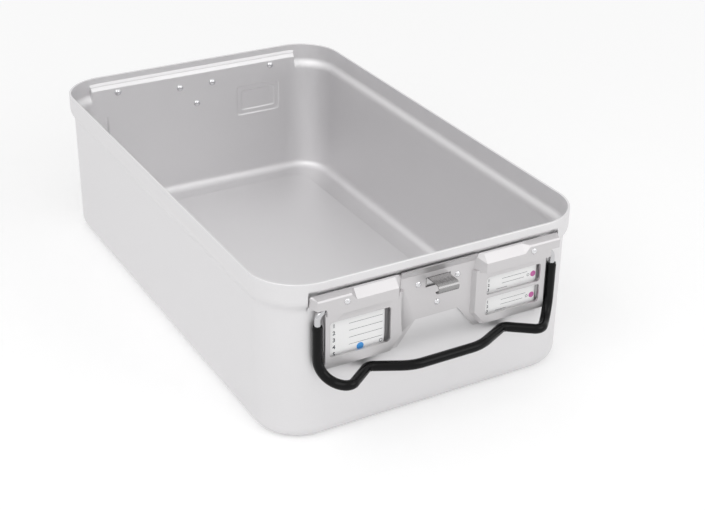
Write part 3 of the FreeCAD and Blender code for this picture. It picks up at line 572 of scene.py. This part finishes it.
def rest_depth(x, z, sizes):
    """How far a card rest pushes the wall out: two rounded rectangles, each a smooth step.

    The distance inside a rounded rectangle is its radius less the distance to the rectangle that
    its corner centres span."""
    middle = (sizes.rest_inner + sizes.rest_outer) / 2
    depth = 0
    for step in (0, 1):
        half_x = (sizes.rest_outer - sizes.rest_inner) / 2 - sizes.rest_margin * step
        half_z = sizes.rest_half_z - sizes.rest_margin * step
        beyond_x = np.abs(x - middle) - (half_x - sizes.rest_round)
        beyond_z = np.abs(z - sizes.rest_z) - (half_z - sizes.rest_round)
        past = np.hypot(np.maximum(beyond_x, 0), np.maximum(beyond_z, 0))
        inside = sizes.rest_round - past - np.minimum(np.maximum(beyond_x, beyond_z), 0)
        depth = depth + sizes.rest_press * smooth(inside / sizes.rest_edge + 0.5)
    return depth


def bead_depth(x, z, sizes):
    """How far the upright bead pushes the wall out: a smooth step of the distance to its line."""
    past = np.maximum(np.maximum(sizes.bead_low - z, z - sizes.bead_high), 0)
    distance = np.hypot(x - sizes.bead_x, past)
    return sizes.bead_press * smooth(1 - (distance - sizes.bead_half / 2) / sizes.bead_half)


def rest_stations(low, high, sizes):
    """Stations across both steps of a card rest that reaches from low to high."""
    edges = np.array([low, low + sizes.rest_margin, high - sizes.rest_margin, high])
    return (edges[:, None] + np.linspace(-0.6, 0.6, 6) * sizes.rest_edge).ravel()


def half_ring(sizes, wall_x):
    """Stations of the front half of every ring, from the right side over the front to the left.

    A station is (a, b, n, m): its point is (a, b) times the ring's straight half lengths plus
    (n, m) times its corner radius."""
    straight = wall_x - sizes.wall_corner
    side = np.linspace(0, 1, 9)[:-1]
    none, full = 0 * side, 1 + 0 * side
    right = np.column_stack([full, -side, full, none])
    # Close stations where the corner meets the end of the ledge, at this angle in degrees.
    web = math.degrees(math.acos((sizes.ledge_half - straight) / sizes.wall_corner))
    near_web = np.linspace(web - 2.5, web + 2.5, 11)
    turn = np.radians(np.unique(np.concatenate([np.linspace(0, 90, 25), near_web])))
    ones = np.ones(len(turn))
    corner = np.column_stack([ones, -ones, np.cos(turn), -np.sin(turn)])
    rest = -rest_stations(sizes.rest_inner, sizes.rest_outer, sizes)
    bead = sizes.bead_x + np.linspace(-1.6, 1.6, 9) * sizes.bead_half
    even = np.linspace(-straight, straight, 31)[1:-1]
    places = np.concatenate([rest, bead[bead < straight], even]).round(6)
    across = np.unique(places)[::-1] / straight
    ones = np.ones(len(across))
    front = np.column_stack([across, -ones, 0 * ones, -ones])
    start = np.vstack([right, corner])
    return np.vstack([start, front, start[::-1] * (-1, 1, -1, 1)])


def floor_rings(sizes, sheet_in, level):
    """Insets, corner radii and heights of the smooth step at the raised floor panel's edge."""
    spread = np.linspace(-0.5, 0.5, 9)
    inset = np.append(spread, 1.2) * sizes.panel_slope + sheet_in
    rise = np.append(smooth(spread + 0.5), 1) * sizes.panel_rise + level
    return np.array([sizes.panel_margin_x + inset, sizes.panel_margin_y + inset,
                     sizes.panel_round - inset, rise])


def tub_rings(sizes):
    """The tub as rings: a rounded rectangle for each point of the section.

    Between the webs the end wall's section is the ledge's instead of the swage's, and the card
    rest and the bead push the wall outwards."""
    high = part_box("tub")[1]
    wall_x = high.x - sizes.flare
    wall_y = high.y - sizes.flare
    top = high.z
    near = rest_stations(sizes.rest_z - sizes.rest_half_z, sizes.rest_z + sizes.rest_half_z, sizes)
    even = [np.linspace(low, top_level, count) * MM for low, top_level, count in WALL_LEVELS]
    levels = np.unique(np.concatenate([near, *even]).round(6))
    swage = swage_section(sizes, top, levels)
    ledge = ledge_section(sizes, top, levels)
    under = floor_rings(sizes, sizes.sheet, 0)[:, ::-1]
    floor = floor_rings(sizes, 0, sizes.sheet)
    wall = np.array([-swage[:, 0], -swage[:, 0], sizes.wall_corner + swage[:, 0], swage[:, 1]])
    inset_x, inset_y, radius, height = np.hstack([under, wall, floor])[:, :, None]
    along_x, along_y, normal_x, normal_y = half_ring(sizes, wall_x).T[:, None, :]
    x = along_x * (wall_x - inset_x - radius) + normal_x * radius
    y = along_y * (wall_y - inset_y - radius) + normal_y * radius
    z = height + 0 * x
    # Only the wall's own rings take the ledge, the card rest and the bead.
    rows = slice(under.shape[1], under.shape[1] + len(swage))
    on_end = (along_y == -1) * np.abs(normal_y)
    inside = smooth(0.5 - (np.abs(x[rows]) - sizes.ledge_half) / sizes.ledge_fade)
    y[rows] -= (ledge[:, :1] - swage[:, :1]) * inside * on_end
    flat = on_end * ((z[rows] > sizes.rest_floor) & (z[rows] < top - sizes.swage_low))
    y[rows] -= (rest_depth(-x[rows], z[rows], sizes) + bead_depth(x[rows], z[rows], sizes)) * flat
    half = np.stack([x, y, z], -1)[:, :-1]
    return np.concatenate([half, half * (-1, -1, 1)], 1)


class CONTAINER_OT_tub(bpy.types.Operator):
    """Make the deep drawn tub"""

    bl_idname = "container.tub"
    bl_label = "Tub"

    def execute(self, context):
        """Rings of the section around the rounded rectangle replace the tub's node."""
        scene = context.scene
        rings = tub_rings(scene.container_tub)[:, ::-1]
        tub = put_mesh("tub_drawn", [ring_part(rings)], 40)
        dress(tub, tub_aluminium(scene.container_colours), "container")
        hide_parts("tub")
        return {"FINISHED"}


# Sheet parts of the end walls.

def merged_copy(node_name, name):
    """A merged copy of a CAD node in the node's place, smooth between its sharp edges."""
    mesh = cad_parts[node_name].data.copy()
    mesh.name = name
    form = bmesh.new()
    form.from_mesh(mesh)
    bmesh.ops.remove_doubles(form, verts=form.verts, dist=0.01 * MM)
    form.to_mesh(mesh)
    form.free()
    shade(mesh, 10)
    piece = new_object(name, mesh)
    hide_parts(node_name)
    return piece


def trim_bracket(mesh, way, sizes):
    """Shift the right side of every window, with its corners, along X, and a flange along Z.

    The hood's side flange ends just above the label plate's, and is drawn down to close the
    gap."""
    points = np.array([corner.co for corner in mesh.vertices], float)
    x, _, z = points.T
    play = 0.1 * MM
    near = sizes.window_round * 1.1 / 2
    upright = (z > sizes.window_low) & (z < sizes.window_high)
    sides = [np.abs(x * way - side + near) < near + play
             for side in (-sizes.large_side, sizes.small_side)]
    flange = ((np.abs(z - sizes.flange_foot) < play)
              & (np.abs(x) > sizes.flange_from) & (np.abs(x) < sizes.flange_to))
    points[:, 0] += (upright & (sides[0] | sides[1])) * sizes.window_shift * way
    points[:, 2] -= flange * sizes.flange_gap
    mesh.vertices.foreach_set("co", points.ravel())
    mesh.update()


class CONTAINER_OT_brackets(bpy.types.Operator):
    """Make the stamped handle brackets"""

    bl_idname = "container.brackets"
    bl_label = "Handle brackets"

    def execute(self, context):
        """Merge each bracket's faces and trim its windows and flanges."""
        scene = context.scene
        material = bracket_aluminium(scene.container_colours)
        for end, way in ENDS:
            bracket = merged_copy(end + "_handle_bracket", end + "_bracket_stamped")
            trim_bracket(bracket.data, way, scene.container_bracket)
            dress(bracket, material, "container")
        return {"FINISHED"}


class CONTAINER_OT_catches(bpy.types.Operator):
    """Make the latch catches"""

    bl_idname = "container.catches"
    bl_label = "Latch catches"

    def execute(self, context):
        scene = context.scene
        material = catch_steel(scene.container_colours)
        for end, _ in ENDS:
            catch = merged_copy(end + "_latch_catch", end + "_catch_strip")
            dress(catch, material, "container")
        return {"FINISHED"}


# Rivets.

def rivet_rings(x, z, outer, inner, sizes):
    """One rivet turned about its axis, from its outer head's middle to its inner head's.

    A head's height is dome * (1 - (r / head)^2)^0.6. The outer one has a dimple, a smooth step
    that deepens towards the middle."""
    reach = np.sin(np.linspace(0.02, 1, 15) * math.pi / 2)
    height = np.maximum(1 - reach ** 2, 0) ** 0.6
    dimple = sizes.dimple_depth * (1 - smooth(reach * sizes.head / sizes.dimple))
    radius = np.concatenate([reach * sizes.head, [sizes.shank, sizes.shank],
                             reach[::-1] * sizes.tail])[:, None]
    depth = np.concatenate([-outer - height * sizes.dome + dimple, [-outer, -inner],
                            -inner + height[::-1] * sizes.tail_dome])[:, None]
    turn = full_turn(40)
    return np.stack([x + radius * np.cos(turn), depth + 0 * turn, z - radius * np.sin(turn)], -1)


class CONTAINER_OT_rivets(bpy.types.Operator):
    """Make the rivets of the catches and hoods"""

    bl_idname = "container.rivets"
    bl_label = "Rivets"

    def execute(self, context):
        """Turn each rivet and set the groups in their nodes' places."""
        scene = context.scene
        sizes = scene.container_rivet
        tub = scene.container_tub
        material = rivet_aluminium(scene.container_colours)
        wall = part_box("tub")[1].y - tub.flare
        inner = wall - tub.sheet
        side = sizes.side_x
        groups = {
            "catch_rivets": ([(-side, sizes.side_z), (side, sizes.side_z), (0, sizes.low_z)],
                             sizes.bridge_face),
            "bracket_rivets": ([(-sizes.hood_x, sizes.hood_z), (sizes.hood_x, sizes.hood_z)],
                               sizes.hood_face),
        }
        for end, way in ENDS:
            for group, (places, face) in groups.items():
                parts = [ring_part(rivet_rings(x, z, wall + face, inner, sizes))
                         for x, z in places]
                rivets = put_mesh("%s_%s_domed" % (end, group), parts, 50, way)
                dress(rivets, material, "container")
                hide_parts("%s_%s" % (end, group))
        return {"FINISHED"}


# The handle.

def sleeve_line(sizes, wall):
    """The sleeve's centre line, from its right end over the grip to its left end.

    Straight stretches and tangent arcs, each stretch divided evenly."""
    y = -(wall + sizes.hinge_out)
    low = sizes.grip_z
    right = [
        (sizes.leg_x, y, sizes.top),
        (sizes.leg_x, y, low),
        (sizes.lobe_x, y - sizes.lobe_out, low),
        (sizes.waist_x, y, low),
        (sizes.grip_x, y - sizes.grip_out, low),
    ]
    left = [(-x, across, z) for x, across, z in reversed(right)]
    radii = [sizes.bend_leg, sizes.bend_lobe, sizes.bend_waist, sizes.bend_grip]
    arcs = bent_line(right + left, radii + radii[::-1], 26)
    stops = np.vstack([right[0], *arcs, left[-1]])
    # Fill the straight stretches, so that no step is longer than this.
    longest = 2 * MM
    steps = np.linalg.norm(np.diff(stops, axis=0), axis=1)
    run = np.concatenate([[0], np.cumsum(steps)])
    counts = np.maximum(np.ceil(steps / longest).astype(int), 1)
    fine = np.concatenate([np.linspace(run[place], run[place + 1], count, endpoint=False)
                           for place, count in enumerate(counts)] + [[run[-1]]])
    return np.column_stack([np.interp(fine, run, stops[:, axis]) for axis in range(3)]), fine


def sleeve_rings(sizes, wall):
    """Rings about the centre line: its point plus a radius times a turning unit vector.

    On the inner side of a bend the radius dips in small waves, as deep as the bend is tight, from
    a quarter of the lobes' curve on. At both ends it falls by nine tenths of a quarter circle to
    the hem's flat face, down to the wire."""
    line, run = sleeve_line(sizes, wall)
    ahead = np.gradient(line, run, axis=0)
    ahead /= np.linalg.norm(ahead, axis=1, keepdims=True)
    across = np.cross((0, 1, 0), ahead)
    across /= np.linalg.norm(across, axis=1, keepdims=True)
    upward = np.cross(ahead, across)
    curve = np.gradient(ahead, run, axis=0)
    tight = np.linalg.norm(curve, axis=1, keepdims=True)
    inward = curve / np.maximum(tight, 1e-9)
    turn = full_turn(sizes.around)[:, None]
    spoke = across[:, None] * np.cos(turn) + upward[:, None] * np.sin(turn)
    facing = np.maximum((spoke * inward[:, None]).sum(-1), 0)
    wave = 0.5 - 0.5 * np.cos(2 * math.pi * run / sizes.wrinkle_pitch)
    depth = sizes.wrinkle * smooth(tight * sizes.bend_lobe - 0.25) * wave[:, None]
    end = np.minimum(run, run[-1] - run)
    into = np.clip(1 - end / sizes.hem, 0, 1)
    hem = 0.9 * sizes.hem * (1 - np.sqrt(1 - into ** 2))
    radius = sizes.outside - depth * facing - hem[:, None]
    rings = line[:, None] + spoke * radius[..., None]
    # The flat faces reach a little into the wire.
    face = [line[place] + spoke[place] * sizes.wire * 0.98 for place in (0, -1)]
    return np.concatenate([face[0][None], rings, face[1][None]])


class CONTAINER_OT_handles(bpy.types.Operator):
    """Make the carry handles: bent wires with sleeves"""

    bl_idname = "container.handles"
    bl_label = "Carry handles"

    def execute(self, context):
        """Carry the sleeve's circle along the bent line, and finish the wires."""
        scene = context.scene
        sizes = scene.container_sleeve
        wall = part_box("tub")[1].y - scene.container_tub.flare
        rubber = sleeve_rubber(scene.container_colours)
        steel = wire_steel(scene.container_colours)
        tube = ring_part(sleeve_rings(sizes, wall))
        for end, way in ENDS:
            sleeve = put_mesh(end + "_sleeve_tube", [tube], 60, way)
            dress(sleeve, rubber, end + "_handle")
            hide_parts(end + "_handle_sleeve")
            coat(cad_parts[end + "_handle_wire"].data, steel)
        return {"FINISHED"}


class CONTAINER_OT_blocks(bpy.types.Operator):
    """Finish the pin blocks that the handles turn in"""

    bl_idname = "container.blocks"
    bl_label = "Pin blocks"

    def execute(self, context):
        material = block_aluminium(context.scene.container_colours)
        for end, _ in ENDS:
            coat(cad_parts[end + "_pin_blocks"].data, material)
        return {"FINISHED"}


# The label cards.

BOX_CORNERS = np.array([(0, 0, 0), (1, 0, 0), (1, 0, 1), (0, 0, 1),
                        (0, 1, 0), (1, 1, 0), (1, 1, 1), (0, 1, 1)], float)
BOX_FACES = ((0, 1, 2, 3), (5, 4, 7, 6), (4, 0, 3, 7), (1, 5, 6, 2), (3, 2, 6, 7), (4, 5, 1, 0))


def bar(left, right, low, high, face, film):
    """A thin rectangle of ink in front of a card's face."""
    return (np.array((left, face - film, low))
            + BOX_CORNERS * (right - left, film, high - low)), BOX_FACES


def disc(x, z, outer, inner, face, film):
    """A thin ring of ink, or a dot, with a hole too small to see, where its inner radius is zero.

    Four rings of points: inner back, inner front, outer front, outer back."""
    turn = full_turn(48)
    inner = max(inner, 0.01 * MM)
    radius = np.array([inner, inner, outer, outer])[:, None]
    depth = np.array([face, face - film, face - film, face])[:, None]
    rings = np.stack([x + radius * np.cos(turn), depth + 0 * turn, z + radius * np.sin(turn)], -1)
    points, faces = ring_part(np.concatenate([rings, rings[:1]]))
    return points, [face[::-1] for face in faces[:-2]]


def digits(text, x, z, height, face, film):
    """A plain number, standing in front of a card's face."""
    curve = bpy.data.curves.new("number", "FONT")
    curve.body = text
    # The font's digits are 1 / 1.4 of its size high, and the offset thickens them.
    curve.size = height * 1.4
    curve.align_x = "CENTER"
    curve.align_y = "CENTER"
    curve.extrude = film / 2
    curve.offset = height * 0.04
    curve.resolution_u = 4
    holder = new_object("number", curve)
    bpy.context.view_layer.update()
    mesh = bpy.data.meshes.new_from_object(holder)
    points = np.array([corner.co for corner in mesh.vertices])
    faces = [list(face.vertices) for face in mesh.polygons]
    bpy.data.objects.remove(holder)
    bpy.data.curves.remove(curve)
    bpy.data.meshes.remove(mesh)
    standing = np.column_stack([points[:, 0], -points[:, 2], points[:, 1]])
    return standing + (x, face - film / 2, z), faces


def card_print(sizes, card, drop, spans, face):
    """A card's print: ruled lines with numbers and an open ring in grey, and a coloured dot.

    A line without a span is a number alone."""
    own = {name: getattr(sizes, "%s_%s" % (card, name)) for name, *_ in PRINT_LENGTHS}
    film = sizes.film
    top = own["top"] - drop
    low = top - own["drop"]
    grey = []
    for row, span in enumerate(spans):
        z = top - own["pitch"] * row
        if span:
            grey.append(bar(*span, z - sizes.rule / 2, z + sizes.rule / 2, face, film))
        grey.append(digits(str(row + 1), own["mark"], z + own["lift"], own["digit"], face, film))
    grey.append(disc(own["ring_x"], low, own["ring"], own["ring"] - own["ring_line"], face, film))
    return grey, [disc(own["dot_x"], low, own["dot"], 0, face, film)]


def card_plate(lowest, highest, right, corner):
    """A flat card whose two right corners are rounded: its outline, in front and behind.

    A corner's points are its centre plus the radius times (cos, sin) over a quarter turn."""
    left, face, low = lowest
    _, back, high = highest
    turn = np.radians(np.linspace(-90, 0, 7))
    foot = np.column_stack([right - corner + corner * np.cos(turn),
                            low + corner + corner * np.sin(turn)])
    head = np.column_stack([foot[::-1, 0], low + high - foot[::-1, 1]])
    edge = np.vstack([[(left, low)], foot, head, [(left, high)]])
    count = len(edge)
    front = np.column_stack([edge[:, 0], np.full(count, face), edge[:, 1]])
    points = np.vstack([front, front + (0, back - face, 0)])
    here = np.arange(count)
    ahead = np.roll(here, -1)
    sides = np.column_stack([here + count, ahead + count, ahead, here]).tolist()
    return points, [here.tolist(), (here[::-1] + count).tolist(), *sides]


class CONTAINER_OT_labels(bpy.types.Operator):
    """Make the label cards and their print"""

    bl_idname = "container.labels"
    bl_label = "Label cards"

    def execute(self, context):
        """Cut each card a little narrower than its window and lay its print on its front."""
        scene = context.scene
        sizes = scene.container_print
        colours = scene.container_colours
        card = label_card(colours)
        grey = card_ink("offset ink grey", colours.ink)
        blue = card_ink("offset ink blue", colours.blue)
        pink = card_ink("offset ink pink", colours.pink)
        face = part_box("front_large_label")[0].y
        # The large card has four rules and a number below them, a small one three rules.
        large = [(sizes.large_left, sizes.large_right)] * 4 + [None]
        small = [(59.4 * MM, 83.0 * MM), (59.4 * MM, 80.4 * MM), (54.4 * MM, 64.6 * MM)]
        prints = {
            "large_label": (*card_print(sizes, "large", 0, large, face), blue),
            "upper_label": (*card_print(sizes, "small", 0, small, face), pink),
            "lower_label": (*card_print(sizes, "small", sizes.small_step, small, face), pink),
        }
        for end, way in ENDS:
            for label, (lines, dots, accent) in prints.items():
                node_name = "%s_%s" % (end, label)
                low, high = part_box("front_" + label)
                right = sizes.large_end if label == "large_label" else sizes.small_end
                plate = put_mesh(node_name + "_card", [card_plate(low, high, right, sizes.corner)],
                                 way=way)
                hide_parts(node_name)
                dress(plate, card, "container")
                for name, parts, ink in (("_rules", lines, grey), ("_dot", dots, accent)):
                    piece = put_mesh(node_name + name, parts, way=way)
                    dress(piece, ink, "container")
        return {"FINISHED"}


# The stage.

def camera_turn(stage):
    """Columns right, up and back of a camera with that azimuth, elevation and roll."""
    turn, tilt, roll = stage.azimuth, stage.elevation, stage.roll
    ahead = Vector((math.sin(turn) * math.cos(tilt), math.cos(turn) * math.cos(tilt),
                    -math.sin(tilt)))
    level = Vector((math.cos(turn), -math.sin(turn), 0))
    above = level.cross(ahead)
    right = level * math.cos(roll) + above * math.sin(roll)
    up = above * math.cos(roll) - level * math.sin(roll)
    return Matrix((right, up, -ahead)).transposed()


def lamp(name, place, size, power):
    """A square soft lamp that faces the container."""
    light = bpy.data.lights.new(name, "AREA")
    light.size = size
    light.energy = power
    holder = new_object(name, light)
    holder.location = place
    holder.rotation_euler = (Vector(LIT_PLACE) - Vector(place)).to_track_quat("-Z", "Y").to_euler()
    return holder


def seen_directly(tree):
    """1 for camera, glossy and transmission rays, and 0 for all others."""
    path = add_node(tree, "ShaderNodeLightPath")
    seen = path.outputs["Is Camera Ray"]
    for ray in ("Is Glossy Ray", "Is Transmission Ray"):
        seen = add_node(tree, "ShaderNodeMath", {"operation": "MAXIMUM"},
                        {0: seen, 1: path.outputs[ray]}).outputs[0]
    return seen


def floor_material(stage):
    """A pale matt floor that keeps the shadow and shows as white to camera and mirror rays."""
    material, tree = new_material("studio floor matt paint")
    # Further out, where the lamps no longer reach, the floor shows more light of its own.
    away = add_node(tree, "ShaderNodeVectorMath", {"operation": "LENGTH"}, {0: object_place(tree)})
    own = ranged(tree, away.outputs["Value"], (0.5, 3), (0.18, 0.36))
    shown = add_node(tree, "ShaderNodeMath", {"operation": "MULTIPLY"},
                     {0: seen_directly(tree), 1: own})
    return close_material(material, {
        "Base Color": (*stage.floor, 1), "Roughness": 0.9, "Specular IOR Level": 0.0,
        "Emission Color": (1, 1, 1, 1), "Emission Strength": shown.outputs[0]})


def set_world(stage):
    """Even light from all round, which shows as white behind the object."""
    world = bpy.data.worlds.new("studio")
    world.use_nodes = True
    tree = world.node_tree
    tree.nodes.clear()
    strength = ranged(tree, seen_directly(tree), (0, 1), (stage.world, 1))
    light = add_node(tree, "ShaderNodeBackground",
                     inputs={"Color": (1, 1, 1, 1), "Strength": strength})
    add_node(tree, "ShaderNodeOutputWorld", inputs={"Surface": light.outputs[0]})
    bpy.context.scene.world = world


FLOOR_REACH = 6.0
LIT_PLACE = (0, 0, 0.06)
# Each lamp's name, place and size.
LAMPS = (("key", (-1.1, -0.6, 1.4), 1.5), ("fill", (0.5, -1.0, 1.45), 0.9),
         ("front", (0.75, -1.3, 0.85), 0.9))


class CONTAINER_OT_stage(bpy.types.Operator):
    """Set the floor, lamps, background and camera"""

    bl_idname = "container.stage"
    bl_label = "Stage"

    def execute(self, context):
        """A white studio, seen from the photograph's angle."""
        scene = context.scene
        stage = scene.container_stage
        corners = np.array([(-1, -1, 0), (1, -1, 0), (1, 1, 0), (-1, 1, 0)]) * FLOOR_REACH
        floor = put_mesh("floor", [(corners, [(0, 1, 2, 3)])])
        coat(floor.data, floor_material(stage))
        key, fill, front = [lamp(name + "_lamp", place, size, getattr(stage, name))
                            for name, place, size in LAMPS]
        set_world(stage)
        view = bpy.data.cameras.new("camera")
        view.lens = stage.lens
        view.sensor_width = 36
        view.sensor_fit = "HORIZONTAL"
        view.clip_start = 0.05
        camera = new_object("camera", view)
        camera.matrix_world = Matrix.Translation(stage.place) @ camera_turn(stage).to_4x4()
        scene.camera = camera
        scene.view_settings.view_transform = "Standard"
        return {"FINISHED"}


class CONTAINER_PT_panel(bpy.types.Panel):
    """Lists the container's pieces and its stage"""

    bl_label = "Sterilization container"
    bl_idname = "CONTAINER_PT_panel"
    bl_space_type = "VIEW_3D"
    bl_region_type = "UI"
    bl_category = "Container"

    def draw(self, context):
        for operator in OPERATORS:
            self.layout.operator(operator.bl_idname)


GROUPS = {
    "container_tub": ContainerTubSizes,
    "container_bracket": ContainerBracketSizes,
    "container_rivet": ContainerRivetSizes,
    "container_sleeve": ContainerSleeveSizes,
    "container_print": ContainerPrintSizes,
    "container_colours": ContainerColours,
    "container_stage": ContainerStage,
}
OPERATORS = (CONTAINER_OT_tub, CONTAINER_OT_brackets, CONTAINER_OT_catches, CONTAINER_OT_rivets,
             CONTAINER_OT_handles, CONTAINER_OT_blocks, CONTAINER_OT_labels, CONTAINER_OT_stage)
CLASSES = (*GROUPS.values(), *OPERATORS, CONTAINER_PT_panel)


def register():
    """Add the classes and their settings."""
    for made in CLASSES:
        bpy.utils.register_class(made)
    for name, group in GROUPS.items():
        setattr(bpy.types.Scene, name, PointerProperty(type=group))


def unregister():
    """Take the classes and their settings away."""
    for name in GROUPS:
        delattr(bpy.types.Scene, name)
    for made in reversed(CLASSES):
        bpy.utils.unregister_class(made)


def main():
    """Build every piece and the stage."""
    register()
    bpy.ops.container.tub()
    bpy.ops.container.brackets()
    bpy.ops.container.catches()
    bpy.ops.container.rivets()
    bpy.ops.container.handles()
    bpy.ops.container.blocks()
    bpy.ops.container.labels()
    bpy.ops.container.stage()


if __name__ == "__main__":
    main()
